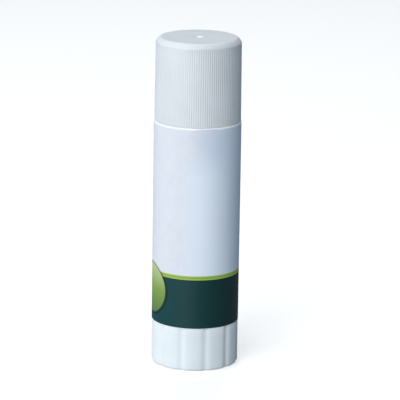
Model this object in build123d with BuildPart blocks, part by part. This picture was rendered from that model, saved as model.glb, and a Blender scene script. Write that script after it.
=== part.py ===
from build123d import *
from math import cos, pi, sin
import os

# Twist-up glue stick with a push-on cap, standing on its knob, in millimetres.
# The origin is the middle of the base, and +Z runs up the stick's axis.
# Azimuths count from the front (-Y) towards +X.

os.makedirs("parts", exist_ok=True)

# Heights of the pieces that show, from the base up
knob_height = 15.3
sleeve_length = 70.7
collar_height = 0.7
neck_length = 12.3
cap_height = 29.0

# Radii and walls of the barrel, from the outside in
sleeve_radius = 15.15
sleeve_wall = 1.0
barrel_air_gap = 0.6
tube_wall = 1.05

# Fits and clearances
running_gap = 0.2
fixed_gap = 0.05
cap_seat_gap = 0.1
cap_clearance = 0.3
slide_clearance = 0.2
wiper_clearance = 0.12
thread_clearance = 0.25
overrun = 1.0

# Label: a printed film round the sleeve, with an open seam at the back
label_thickness = 0.09
label_film_gap = 0.01
label_margin = 0.15
label_seam_width = 0.5

# Inner tube: neck, bead, outside ribs that centre the sleeve, inside guide ribs
collar_edge_radius = 0.4
neck_bead_height = 0.2
neck_bead_width = 1.2
neck_bead_rise = 3.6
rim_edge_radius = 0.4
centring_rib_count = 6
centring_rib_width = 1.2
centring_rib_start = 30
guide_rib_count = 4
guide_rib_width = 1.2
guide_rib_start = 45
guide_rib_height = 0.6
guide_rib_top_margin = 2.2

# Base plug: a plate that closes the barrel and carries the spindle
plug_rise = 0.4
plug_plate = 1.6
plug_spigot_height = 2.0
plug_spigot_wall = 1.1
plug_boss_radius = 6.0
plug_boss_height = 1.2

# Lead screw, one left-hand start, and its spindle
thread_lead = 4.0
thread_core_radius = 2.6
thread_depth = 1.0
thread_crest_width = 1.0
thread_root_width = 1.9
thread_sink = 0.3
journal_radius = 3.4
journal_clearance = 0.1
spindle_collar_radius = 5.2
spindle_collar_height = 1.2
spindle_neck_height = 0.4
spindle_tip_chamfer = 0.8
drive_hex_radius = 2.9

# Knob: eleven broad lobes between shallow grooves
knob_step = 0.02
knob_lobe_count = 11
knob_groove_azimuth = 14.8
knob_groove_radius = 2.4
knob_groove_depth = 0.45
knob_groove_softening = 2.5
knob_base_edge_radius = 0.8
knob_top_edge_radius = 0.25
knob_wall = 1.35
knob_floor = 1.6
knob_recess_depth = 0.6
knob_foot_width = 2.2
knob_hub_wall = 1.5
knob_web_count = 6
knob_web_thickness = 1.0
knob_web_drop = 5.0

# Carrier: a threaded cup that lifts the glue
carrier_gap = 0.2
carrier_floor = 1.4
carrier_floor_rise = 2.4
carrier_skirt_wall = 0.7
carrier_lip_height = 1.6
nut_wall = 1.75
nut_length = 10.0
anchor_fin_thickness = 0.9
anchor_fin_reach = 3.6
anchor_fin_height = 3.4
anchor_flange_reach = 2.4
anchor_flange_thickness = 0.8
anchor_flange_drop = 0.8
guide_notch_clearance = 0.3

# Glue
glue_recess = 5.2
glue_roof = 8.0
glue_edge_radius = 0.5

# Cap
cap_wall = 1.08
cap_rib_count = 120
cap_rib_depth = 0.12
cap_draft_step = 0.19
cap_shoulder_height = 1.7
cap_shoulder_width = 1.57
cap_shoulder_bulge = 0.28
cap_ceiling = 1.5
cap_mouth_chamfer = 0.4
cap_ceiling_radius = 1.0
cap_dimple_radius = 1.4
cap_dimple_depth = 0.4

# Heights worked out from the sizes above
sleeve_bottom = knob_height + running_gap
sleeve_top = sleeve_bottom + sleeve_length
collar_top = sleeve_top + collar_height
rim_top = collar_top + neck_length
cap_bottom = collar_top + cap_seat_gap
cap_top = cap_bottom + cap_height
cap_ceiling_z = cap_top - cap_ceiling

# Radii worked out from the sizes above
sleeve_bore = sleeve_radius - sleeve_wall
tube_radius = sleeve_bore - barrel_air_gap
tube_bore = tube_radius - tube_wall
knob_radius = sleeve_radius + knob_step
cap_bore = tube_radius + cap_clearance
cap_mouth_radius = cap_bore + cap_wall + cap_rib_depth
cap_shoulder_radius = cap_mouth_radius - cap_draft_step
glue_radius = tube_bore - slide_clearance
carrier_radius = tube_bore - wiper_clearance

# Places of the working parts, from the plug up
plug_bottom = sleeve_bottom + plug_rise
plug_top = plug_bottom + plug_plate
boss_top = plug_top + plug_boss_height
spigot_top = plug_top + plug_spigot_height
spindle_collar_top = boss_top + running_gap + spindle_collar_height
thread_bottom = spindle_collar_top + spindle_neck_height
carrier_bottom = thread_bottom + carrier_gap
floor_bottom = carrier_bottom + carrier_floor_rise
floor_top = floor_bottom + carrier_floor
lip_top = floor_top + carrier_lip_height
nut_top = carrier_bottom + nut_length
glue_top = rim_top - glue_recess
spindle_top = glue_top - glue_roof - running_gap
thread_crest_radius = thread_core_radius + thread_depth
nut_radius = thread_crest_radius + thread_clearance + nut_wall


def ring_profile(inner, outer, low, high):
    """Draw a ring's half section, from radius inner to outer and height low to high."""
    with Locations(((inner + outer) / 2, (low + high) / 2)):
        Rectangle(outer - inner, high - low)


def screw(grow, low, high):
    """Return the left-hand lead screw, fattened by grow, between two heights."""
    core = thread_core_radius + grow
    with BuildPart() as body:
        with BuildSketch(Plane.XY.offset(low)):
            Circle(core)
        extrude(amount=high - low)
        with BuildLine():
            path = Helix(thread_lead, high - low, core, center=(0, 0, low), lefthand=True)
        with BuildSketch(Plane(path @ 0, x_dir=(1, 0, 0), z_dir=path % 0)):
            root = thread_root_width / 2 + grow
            crest = thread_crest_width / 2 + grow
            with BuildLine():
                Polyline(
                    (-thread_sink, -root),
                    (thread_depth, -crest),
                    (thread_depth, crest),
                    (-thread_sink, root),
                    close=True,
                )
            make_face()
        sweep(is_frenet=True)
    return body.part


def trimmed_screw(grow, start, low, high):
    """Return the screw that starts at height start, cut square at low and high."""
    blank = screw(grow, start, high + thread_lead)
    with BuildPart() as body:
        add(blank)
        with BuildSketch(Plane.XY.offset(low)):
            Circle(thread_crest_radius + grow + overrun)
        extrude(amount=high - low, mode=Mode.INTERSECT)
    return body.part


# Outer sleeve: the plain tube that the label is wrapped on
with BuildPart() as outer_sleeve:
    with BuildSketch(Plane.XZ):
        ring_profile(sleeve_bore, sleeve_radius, sleeve_bottom, sleeve_top)
    revolve()
outer_sleeve.part.label = "outer_sleeve"
export_step(outer_sleeve.part, "parts/outer_sleeve.step")

# Label: one turn of film, parted by the seam
label_inner = sleeve_radius + label_film_gap
label_radius = label_inner + label_thickness
with BuildPart() as label:
    with BuildSketch(Plane.XZ):
        ring_profile(
            label_inner, label_radius, sleeve_bottom + label_margin, sleeve_top - label_margin
        )
    revolve()
    with BuildSketch(Plane.XY.offset(sleeve_bottom)):
        with Locations((0, label_radius)):
            Rectangle(label_seam_width, 2 * overrun)
    extrude(amount=sleeve_length, mode=Mode.SUBTRACT)
label.part.label = "label"
export_step(label.part, "parts/label.step")

# Inner tube: the bore that holds the glue, the collar and the neck for the cap
with BuildPart() as inner_tube:
    with BuildSketch(Plane.XZ):
        ring_profile(tube_bore, tube_radius, plug_top, rim_top)
    revolve()
    fillet(inner_tube.edges().group_by(Axis.Z)[-1], rim_edge_radius)
    with BuildSketch(Plane.XZ) as collar_section:
        ring_profile(tube_radius - tube_wall / 2, sleeve_radius, sleeve_top, collar_top)
        outer_top = collar_section.vertices().sort_by(Axis.X)[-2:].sort_by(Axis.Y)[-1]
        fillet(outer_top, collar_edge_radius)
    revolve()
    with BuildSketch(Plane.XZ):
        with BuildLine():
            bead_z = collar_top + neck_bead_rise
            ThreePointArc(
                (tube_radius, bead_z - neck_bead_width / 2),
                (tube_radius + neck_bead_height, bead_z),
                (tube_radius, bead_z + neck_bead_width / 2),
            )
            Polyline(
                (tube_radius, bead_z + neck_bead_width / 2),
                (tube_radius - tube_wall / 2, bead_z),
                (tube_radius, bead_z - neck_bead_width / 2),
            )
        make_face()
    revolve()
    with BuildSketch(Plane.XY.offset(spigot_top + running_gap)):
        with PolarLocations(0, centring_rib_count, start_angle=centring_rib_start):
            with Locations((tube_radius - tube_wall / 2, 0)):
                Rectangle(
                    tube_wall / 2 + barrel_air_gap - fixed_gap,
                    centring_rib_width,
                    align=(Align.MIN, Align.CENTER),
                )
    extrude(amount=sleeve_top - spigot_top - running_gap)
    with BuildSketch(Plane.XY.offset(spigot_top + running_gap)):
        with PolarLocations(0, guide_rib_count, start_angle=guide_rib_start):
            with Locations((tube_bore - guide_rib_height, 0)):
                Rectangle(
                    guide_rib_height + tube_wall / 2,
                    guide_rib_width,
                    align=(Align.MIN, Align.CENTER),
                )
    extrude(amount=rim_top - guide_rib_top_margin - spigot_top - running_gap)
inner_tube.part.label = "inner_tube"
export_step(inner_tube.part, "parts/inner_tube.step")

# Base plug: plate, spigot inside the tube, and the boss that the spindle turns in
with BuildPart() as base_plug:
    with BuildSketch(Plane.XZ):
        hole = journal_radius + journal_clearance
        ring_profile(hole, sleeve_bore - fixed_gap, plug_bottom, plug_top)
        ring_profile(hole, plug_boss_radius, plug_bottom, boss_top)
        spigot_radius = tube_bore - fixed_gap
        ring_profile(spigot_radius - plug_spigot_wall, spigot_radius, plug_bottom, spigot_top)
    revolve()
base_plug.part.label = "base_plug"
export_step(base_plug.part, "parts/base_plug.step")

# Spindle: hexagonal drive, journal, collar and lead screw
socket_bottom = knob_recess_depth + knob_floor
hub_top = plug_bottom - running_gap
spindle_thread = trimmed_screw(0, thread_bottom - thread_lead, thread_bottom, spindle_top)
with BuildPart() as spindle:
    with BuildSketch(Plane.XY.offset(socket_bottom + fixed_gap)):
        RegularPolygon(drive_hex_radius, 6)
    extrude(amount=hub_top - socket_bottom)
    with BuildSketch(Plane.XZ):
        ring_profile(0, journal_radius, hub_top + fixed_gap, boss_top + running_gap)
        ring_profile(0, spindle_collar_radius, boss_top + running_gap, spindle_collar_top)
        ring_profile(0, thread_core_radius, spindle_collar_top, thread_bottom + overrun)
    revolve()
    add(spindle_thread)
    with BuildSketch(Plane.XZ):
        tip = thread_crest_radius + overrun
        with BuildLine():
            Polyline(
                (thread_core_radius - spindle_tip_chamfer, spindle_top),
                (tip, spindle_top - (tip - thread_core_radius + spindle_tip_chamfer)),
                (tip, spindle_top + overrun),
                (thread_core_radius - spindle_tip_chamfer, spindle_top + overrun),
                close=True,
            )
        make_face()
    revolve(mode=Mode.SUBTRACT)
spindle.part.label = "spindle"
export_step(spindle.part, "parts/spindle.step")

# Knob: lobed shell with a floor, a socket for the drive and stiffening webs
with BuildPart() as knob:
    with BuildSketch():
        Circle(knob_radius)
        groove_place = knob_radius + knob_groove_radius - knob_groove_depth
        with PolarLocations(groove_place, knob_lobe_count, start_angle=knob_groove_azimuth - 90):
            Circle(knob_groove_radius, mode=Mode.SUBTRACT)
        fillet(vertices(), knob_groove_softening)
    extrude(amount=knob_height)
    with BuildSketch(Plane.XZ) as envelope:
        ring_profile(0, knob_radius, 0, knob_height)
        corners = envelope.vertices().sort_by(Axis.X)[-2:].sort_by(Axis.Y)
        fillet(corners[0], knob_base_edge_radius)
        fillet(corners[1], knob_top_edge_radius)
    revolve(mode=Mode.INTERSECT)
    knob_bore = knob_radius - knob_groove_depth - knob_wall
    with BuildSketch(Plane.XZ):
        ring_profile(0, knob_bore, socket_bottom, knob_height + overrun)
        ring_profile(0, knob_radius - knob_foot_width, -overrun, knob_recess_depth)
    revolve(mode=Mode.SUBTRACT)
    hub_radius = drive_hex_radius + fixed_gap + knob_hub_wall
    with BuildSketch(Plane.XY.offset(knob_recess_depth)):
        Circle(hub_radius)
    extrude(amount=hub_top - knob_recess_depth)
    with BuildSketch(Plane.XY.offset(knob_recess_depth)):
        with PolarLocations(0, knob_web_count, start_angle=knob_groove_azimuth - 90):
            Rectangle(
                knob_bore + knob_wall / 2, knob_web_thickness, align=(Align.MIN, Align.CENTER)
            )
    extrude(amount=hub_top - knob_web_drop - knob_recess_depth)
    with BuildSketch(Plane.XY.offset(socket_bottom)):
        RegularPolygon(drive_hex_radius + fixed_gap, 6)
    extrude(amount=hub_top, mode=Mode.SUBTRACT)
knob.part.label = "knob"
export_step(knob.part, "parts/knob.step")

# Carrier: cup with a threaded hub, anchor fins and notches for the guide ribs
notch_width = guide_rib_width + 2 * guide_notch_clearance
notch_bottom_radius = tube_bore - guide_rib_height - guide_notch_clearance
cup_inner = carrier_radius - carrier_skirt_wall
nut_thread = trimmed_screw(
    thread_clearance, thread_bottom - thread_lead, carrier_bottom - overrun, nut_top + overrun
)
flange_bottom = nut_top - anchor_flange_drop - anchor_flange_thickness
with BuildPart() as carrier:
    with BuildSketch(Plane.XZ):
        ring_profile(0, nut_radius, carrier_bottom, nut_top)
        ring_profile(0, carrier_radius, floor_bottom, floor_top)
        ring_profile(cup_inner, carrier_radius, carrier_bottom, lip_top)
        ring_profile(
            0, nut_radius + anchor_flange_reach, flange_bottom, flange_bottom + anchor_flange_thickness
        )
    revolve()
    with BuildSketch(Plane.XY.offset(floor_bottom)):
        with PolarLocations(0, guide_rib_count):
            Rectangle(
                nut_radius + anchor_fin_reach, anchor_fin_thickness, align=(Align.MIN, Align.CENTER)
            )
    extrude(amount=carrier_floor + anchor_fin_height)
    with BuildSketch(Plane.XY.offset(carrier_bottom)):
        with PolarLocations(0, guide_rib_count, start_angle=guide_rib_start):
            with Locations((notch_bottom_radius, 0)):
                Rectangle(tube_bore, notch_width, align=(Align.MIN, Align.CENTER))
    extrude(amount=nut_length, mode=Mode.SUBTRACT)
    add(nut_thread, mode=Mode.SUBTRACT)
carrier.part.label = "carrier"
export_step(carrier.part, "parts/carrier.step")

# Glue: the stick, cast round the carrier's anchor, with the screw's bore and guide grooves
with BuildPart() as glue:
    with BuildSketch(Plane.XZ) as stick_section:
        ring_profile(0, glue_radius, lip_top + fixed_gap, glue_top)
        top_corner = stick_section.vertices().sort_by(Axis.X)[-2:].sort_by(Axis.Y)[-1]
        fillet(top_corner, glue_edge_radius)
        heel_radius = min(cup_inner, notch_bottom_radius) - fixed_gap
        ring_profile(0, heel_radius, floor_top, lip_top + overrun)
    revolve()
    with BuildSketch(Plane.XZ):
        bore = thread_crest_radius + thread_clearance
        ring_profile(0, bore, floor_bottom, glue_top - glue_roof)
        ring_profile(0, nut_radius + fixed_gap, floor_bottom, nut_top + fixed_gap)
        ring_profile(
            0,
            nut_radius + anchor_flange_reach + fixed_gap,
            flange_bottom - fixed_gap,
            flange_bottom + anchor_flange_thickness + fixed_gap,
        )
    revolve(mode=Mode.SUBTRACT)
    with BuildSketch(Plane.XY.offset(floor_bottom)):
        with PolarLocations(0, guide_rib_count):
            Rectangle(
                nut_radius + anchor_fin_reach + fixed_gap,
                anchor_fin_thickness + 2 * fixed_gap,
                align=(Align.MIN, Align.CENTER),
            )
    extrude(amount=carrier_floor + anchor_fin_height + fixed_gap, mode=Mode.SUBTRACT)
    with BuildSketch(Plane.XY.offset(floor_bottom)):
        with PolarLocations(0, guide_rib_count, start_angle=guide_rib_start):
            with Locations((notch_bottom_radius, 0)):
                Rectangle(tube_bore, notch_width, align=(Align.MIN, Align.CENTER))
    extrude(amount=glue_top + overrun - floor_bottom, mode=Mode.SUBTRACT)
glue.part.label = "glue"
export_step(glue.part, "parts/glue.step")


def ribbed_outline(crest_radius, height):
    """Return the cap's outline at a height: an arc for each rib, meeting in shallow valleys."""
    valley_radius = crest_radius - cap_rib_depth
    step = 2 * pi / cap_rib_count
    with BuildSketch(Plane.XY.offset(height)) as outline:
        with BuildLine():
            for index in range(cap_rib_count):
                turn = (index - 0.5) * step
                ThreePointArc(
                    (valley_radius * cos(turn), valley_radius * sin(turn)),
                    (crest_radius * cos(turn + step / 2), crest_radius * sin(turn + step / 2)),
                    (valley_radius * cos(turn + step), valley_radius * sin(turn + step)),
                )
        make_face()
    return outline.sketch


# Cap: ribbed skirt, rounded shoulder and a plain bore; its mouth rests on the collar
shoulder_bottom = cap_top - cap_shoulder_height
mouth_outline = ribbed_outline(cap_mouth_radius, cap_bottom)
shoulder_outline = ribbed_outline(cap_shoulder_radius, shoulder_bottom)
with BuildPart() as cap:
    loft([mouth_outline, shoulder_outline], ruled=True)
    with BuildSketch(Plane.XZ):
        top_radius = cap_shoulder_radius - cap_shoulder_width
        with BuildLine():
            Polyline(
                (top_radius, cap_top),
                (0, cap_top),
                (0, shoulder_bottom - overrun),
                (cap_shoulder_radius - cap_rib_depth, shoulder_bottom - overrun),
                (cap_shoulder_radius - cap_rib_depth, shoulder_bottom),
                (cap_shoulder_radius, shoulder_bottom),
            )
            SagittaArc(
                (cap_shoulder_radius, shoulder_bottom), (top_radius, cap_top), -cap_shoulder_bulge
            )
        make_face()
    revolve()
    with BuildSketch(Plane.XZ) as bore_section:
        ring_profile(0, cap_bore, cap_bottom - overrun, cap_ceiling_z)
        ceiling_corner = bore_section.vertices().sort_by(Axis.X)[-2:].sort_by(Axis.Y)[-1]
        fillet(ceiling_corner, cap_ceiling_radius)
    revolve(mode=Mode.SUBTRACT)
    with BuildSketch(Plane.XZ):
        with BuildLine():
            Polyline(
                (cap_bore, cap_bottom + cap_mouth_chamfer),
                (cap_bore + cap_mouth_chamfer, cap_bottom),
                (0, cap_bottom),
                (0, cap_bottom + cap_mouth_chamfer),
                close=True,
            )
        make_face()
    revolve(mode=Mode.SUBTRACT)
    ball = (cap_dimple_radius**2 + cap_dimple_depth**2) / (2 * cap_dimple_depth)
    with Locations((0, 0, cap_top - cap_dimple_depth + ball)):
        Sphere(ball, mode=Mode.SUBTRACT)
cap.part.label = "cap"
export_step(cap.part, "parts/cap.step")
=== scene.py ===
import logging
import math
from dataclasses import dataclass
from enum import Enum
from typing import Callable

import bmesh
import bpy
from mathutils import Matrix, Vector


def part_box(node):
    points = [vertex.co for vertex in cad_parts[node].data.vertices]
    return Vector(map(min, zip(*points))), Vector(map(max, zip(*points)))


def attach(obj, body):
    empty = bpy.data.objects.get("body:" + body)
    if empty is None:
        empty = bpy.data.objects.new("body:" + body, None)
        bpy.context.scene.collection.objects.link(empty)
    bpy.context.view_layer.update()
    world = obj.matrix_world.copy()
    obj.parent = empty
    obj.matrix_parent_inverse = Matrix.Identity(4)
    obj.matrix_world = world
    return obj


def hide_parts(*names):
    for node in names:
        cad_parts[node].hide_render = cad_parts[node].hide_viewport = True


# A twist-up glue stick, closed, standing on its knob. Azimuths are in degrees and count from
# the front (-Y) towards +X. Lengths are in metres, and MM turns millimetres into them. A half
# section is a closed line of points, each a radius and a height, that is turned about +Z.

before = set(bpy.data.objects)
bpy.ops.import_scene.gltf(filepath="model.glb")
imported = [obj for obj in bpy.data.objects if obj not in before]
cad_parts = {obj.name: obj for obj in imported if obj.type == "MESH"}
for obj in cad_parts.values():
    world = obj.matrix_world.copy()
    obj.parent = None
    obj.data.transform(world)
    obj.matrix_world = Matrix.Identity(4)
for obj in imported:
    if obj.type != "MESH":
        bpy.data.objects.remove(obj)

LOG = logging.getLogger("glue_stick")
MM = 0.001
FULL_TURN = 360.0
HALF_TURN = 180.0
SHARP_ANGLE = math.radians(32.0)
WELD = 0.0005 * MM
# How far outside a rib, in degrees, a column of points may lie and still count as its edge.
SLACK = 0.001
# The colour sockets of a Mix node: two inputs and the output.
MIX_FIRST, MIX_SECOND, MIX_RESULT = 6, 7, 2

Point = tuple[float, float]
Place = tuple[float, float, float]
Span = tuple[float, float]
Colour = tuple[float, float, float]
Socket = bpy.types.NodeSocket

RISING: Span = (0.0, 1.0)
FALLING: Span = (1.0, 0.0)
PLAIN_WHITE: Colour = (1.0, 1.0, 1.0)


class Way(Enum):
    """A direction in a half section, in degrees from the one that points away from the axis."""

    OUT = 0.0
    UP = 90.0
    IN = 180.0
    DOWN = 270.0


@dataclass(frozen=True)
class Spot:
    """A point of a turned section: where it is, and its place in the section."""

    radius: float
    height: float
    azimuth: float
    index: int


Shape = Callable[[Spot], float]


def linear(red: int, green: int, blue: int) -> Colour:
    """Turn a screen colour of 0 to 255 into the linear colour that a shader takes.

    Args:
        red: Red share, 0 to 255.
        green: Green share, 0 to 255.
        blue: Blue share, 0 to 255.

    Returns:
        The same colour as three linear shares, by the sRGB curve.
    """
    shares = []
    for value in (red, green, blue):
        share = value / 255.0
        shares.append(share / 12.92 if share <= 0.04045 else ((share + 0.055) / 1.055) ** 2.4)
    return shares[0], shares[1], shares[2]


def rise(start: float, end: float, steps: int) -> list[float]:
    """Evenly spaced values from start to end, both included."""
    return [start + (end - start) * step / steps for step in range(steps + 1)]


def wrapped(azimuth: float) -> float:
    """Give an angle in degrees as the same one between -180 and 180."""
    return (azimuth + HALF_TURN) % FULL_TURN - HALF_TURN


def corner(centre: Point, radius: float, start: Way, end: Way, steps: int) -> list[Point]:
    """Points on a rounded corner of a half section, the short way round.

    Args:
        centre: Centre of the arc, as radius and height.
        radius: Radius of the arc.
        start: Direction of the first point from the centre.
        end: Direction of the last point from the centre.
        steps: Number of steps between the two.

    Returns:
        The points, both ends included.
    """
    sweep = wrapped(end.value - start.value)
    points = []
    for degrees in rise(start.value, start.value + sweep, steps):
        turn = math.radians(degrees)
        points.append((centre[0] + radius * math.cos(turn), centre[1] + radius * math.sin(turn)))
    return points


def piece_from(mesh: bpy.types.Mesh, name: str) -> bpy.types.Object:
    """Link a mesh to the scene as a new object.

    Args:
        mesh: The mesh.
        name: Name of the object.

    Returns:
        The object, at the origin.
    """
    piece = bpy.data.objects.new(name, mesh)
    bpy.context.scene.collection.objects.link(piece)
    return piece


def mesh_from(draft: bmesh.types.BMesh, name: str) -> bpy.types.Mesh:
    """Turn a draft into a mesh and free the draft.

    Args:
        draft: The draft. It is used up.
        name: Name of the mesh.

    Returns:
        The mesh.
    """
    mesh = bpy.data.meshes.new(name)
    draft.to_mesh(mesh)
    draft.free()
    return mesh


def turned(
    name: str,
    profile: list[Point],
    azimuths: list[float],
    shape: Shape | None = None,
    loop: bool = True,
    ends: bool = False,
) -> bpy.types.Object:
    """Turn a half section about the stick's axis.

    Args:
        name: Name of the object.
        profile: Radius and height of each point, in order round the section.
        azimuths: Azimuth of each column of points, in degrees, rising.
        shape: Gives the radius at which a point of the section is put.
        loop: Whether the last column joins the first.
        ends: Whether an open turn is closed with flat faces.

    Returns:
        The object, with a UV map of arc length and height.
    """
    draft = bmesh.new()
    uv_layer = draft.loops.layers.uv.new("unrolled")
    places: dict[bmesh.types.BMVert, Point] = {}
    columns: list[list[bmesh.types.BMVert]] = []
    poles: dict[int, bmesh.types.BMVert] = {}
    widest = max(radius for radius, height in profile)
    for azimuth in azimuths:
        turn = math.radians(azimuth)
        column = []
        for index, (radius, height) in enumerate(profile):
            if radius < WELD:
                if index not in poles:
                    poles[index] = draft.verts.new((0.0, 0.0, height))
                    places[poles[index]] = (0.0, height)
                column.append(poles[index])
                continue
            reach = shape(Spot(radius, height, azimuth, index)) if shape else radius
            vertex = draft.verts.new((reach * math.sin(turn), -reach * math.cos(turn), height))
            places[vertex] = (widest * turn, height)
            column.append(vertex)
        columns.append(column)
    pairs = list(zip(columns, columns[1:]))
    if loop:
        pairs.append((columns[-1], columns[0]))
    for left, right in pairs:
        for index in range(len(profile)):
            after = (index + 1) % len(profile)
            corners = dict.fromkeys((left[index], right[index], right[after], left[after]))
            if len(corners) > 2:
                draft.faces.new(list(corners))
    if ends:
        draft.faces.new(columns[0])
        draft.faces.new(columns[-1])
    for face in draft.faces:
        for face_corner in face.loops:
            face_corner[uv_layer].uv = places[face_corner.vert]
    return piece_from(mesh_from(draft, name), name)


def even_columns(count: int) -> list[float]:
    """Give the azimuths of even columns round a full turn, from -180 degrees on."""
    return rise(-HALF_TURN, HALF_TURN, count)[:-1]


def tidy(piece: bpy.types.Object) -> bpy.types.Object:
    """Weld, turn the faces outward and shade smooth, with sharp edges where the form has them.

    Args:
        piece: A mesh object.

    Returns:
        The same object.
    """
    draft = bmesh.new()
    draft.from_mesh(piece.data)
    bmesh.ops.remove_doubles(draft, verts=draft.verts, dist=WELD)
    bmesh.ops.recalc_face_normals(draft, faces=draft.faces)
    for face in draft.faces:
        face.smooth = True
    draft.to_mesh(piece.data)
    draft.free()
    piece.data.set_sharp_from_angle(angle=SHARP_ANGLE)
    return piece


@dataclass(frozen=True)
class Ribs:
    """Even ribs or grooves along a turned piece.

    The first one's azimuth and the flank are in degrees. Depth is how far a rib stands out, or
    a groove sinks in.
    """

    count: int
    first: float
    width: float
    depth: float
    flank: float

    def _half(self, radius: float) -> float:
        """Give half of a rib's width at a radius, in degrees."""
        return math.degrees(self.width / 2 / radius)

    def covers(self, azimuth: float, radius: float) -> bool:
        """Say whether an azimuth lies on a rib.

        Args:
            azimuth: The azimuth.
            radius: Radius at which the ribs have their width.

        Returns:
            True on a rib and on its edges.
        """
        pitch = FULL_TURN / self.count
        away = (azimuth - self.first + pitch / 2) % pitch - pitch / 2
        return abs(away) <= self._half(radius) + SLACK

    def edged(self, azimuths: set[float], radius: float) -> set[float]:
        """Put a column at both edges of each rib and at the foot of its flanks.

        Args:
            azimuths: Azimuths of the columns so far.
            radius: Radius at which the ribs have their width.

        Returns:
            The azimuths, without those that stood on a rib or too close to it.
        """
        half = self._half(radius)
        for copy in range(self.count):
            middle = wrapped(self.first + copy * FULL_TURN / self.count)
            azimuths = {a for a in azimuths if abs(wrapped(a - middle)) > half + 2 * self.flank}
            for side in (-1, 1):
                for away in (half, half + self.flank):
                    azimuths.add(wrapped(middle + side * away))
        return azimuths


class RingTree:
    """A node tree that repeats its own mesh round the stick's axis and welds the copies."""

    def __init__(self) -> None:
        """Build the tree, with inputs for the count, the weld distance and the material."""
        self.tree = bpy.data.node_groups.new("repeat_round_axis", "GeometryNodeTree")
        face = self.tree.interface
        kinds = (
            ("Sector", "NodeSocketGeometry"),
            ("Count", "NodeSocketInt"),
            ("Weld Distance", "NodeSocketFloat"),
            ("Finish", "NodeSocketMaterial"),
        )
        for name, kind in kinds:
            face.new_socket(name, in_out="INPUT", socket_type=kind)
        face.new_socket("Ring", in_out="OUTPUT", socket_type="NodeSocketGeometry")
        source = self._node("NodeGroupInput")
        points = self._node("GeometryNodePoints")
        index = self._node("GeometryNodeInputIndex")
        pitch = self._node("ShaderNodeMath", operation="DIVIDE")
        pitch.inputs[0].default_value = math.tau
        turn = self._node("ShaderNodeMath", operation="MULTIPLY")
        rotation = self._node("ShaderNodeCombineXYZ")
        place = self._node("GeometryNodeInstanceOnPoints")
        real = self._node("GeometryNodeRealizeInstances")
        weld = self._node("GeometryNodeMergeByDistance")
        dress_up = self._node("GeometryNodeSetMaterial")
        result = self._node("NodeGroupOutput")
        links = (
            (source.outputs["Count"], points.inputs["Count"]),
            (source.outputs["Count"], pitch.inputs[1]),
            (pitch.outputs[0], turn.inputs[0]),
            (index.outputs[0], turn.inputs[1]),
            (turn.outputs[0], rotation.inputs["Z"]),
            (points.outputs[0], place.inputs["Points"]),
            (source.outputs["Sector"], place.inputs["Instance"]),
            (rotation.outputs[0], place.inputs["Rotation"]),
            (place.outputs[0], real.inputs[0]),
            (real.outputs[0], weld.inputs["Geometry"]),
            (source.outputs["Weld Distance"], weld.inputs["Distance"]),
            (weld.outputs[0], dress_up.inputs["Geometry"]),
            (source.outputs["Finish"], dress_up.inputs["Material"]),
            (dress_up.outputs[0], result.inputs[0]),
        )
        for output, target in links:
            self.tree.links.new(output, target)

    def _node(self, kind: str, **settings: str) -> bpy.types.Node:
        """Add a node and set its properties.

        Args:
            kind: Type of the node.
            settings: Its properties.

        Returns:
            The node.
        """
        node = self.tree.nodes.new(kind)
        for name, value in settings.items():
            setattr(node, name, value)
        return node

    def _identifier(self, name: str) -> str:
        """Find the identifier of a named input.

        Args:
            name: The input's name.

        Returns:
            Its identifier, by which a modifier's input is set.
        """
        for item in self.tree.interface.items_tree:
            if item.name == name and item.in_out == "INPUT":
                return item.identifier
        raise KeyError(name)

    def repeat(
        self, sector: bpy.types.Object, count: int, finish: bpy.types.Material
    ) -> bpy.types.Object:
        """Turn one sector into a whole ring.

        Args:
            sector: The mesh of one sector. It is used up.
            count: Number of copies in a full turn.
            finish: Material of the ring.

        Returns:
            A plain mesh object under the sector's name.
        """
        name = sector.name
        modifier = sector.modifiers.new("ring", "NODES")
        modifier.node_group = self.tree
        modifier[self._identifier("Count")] = count
        modifier[self._identifier("Weld Distance")] = WELD
        modifier[self._identifier("Finish")] = finish
        graph = bpy.context.evaluated_depsgraph_get()
        mesh = bpy.data.meshes.new_from_object(
            sector.evaluated_get(graph), preserve_all_data_layers=True, depsgraph=graph
        )
        bpy.data.objects.remove(sector)
        mesh.name = name
        return piece_from(mesh, name)


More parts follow.
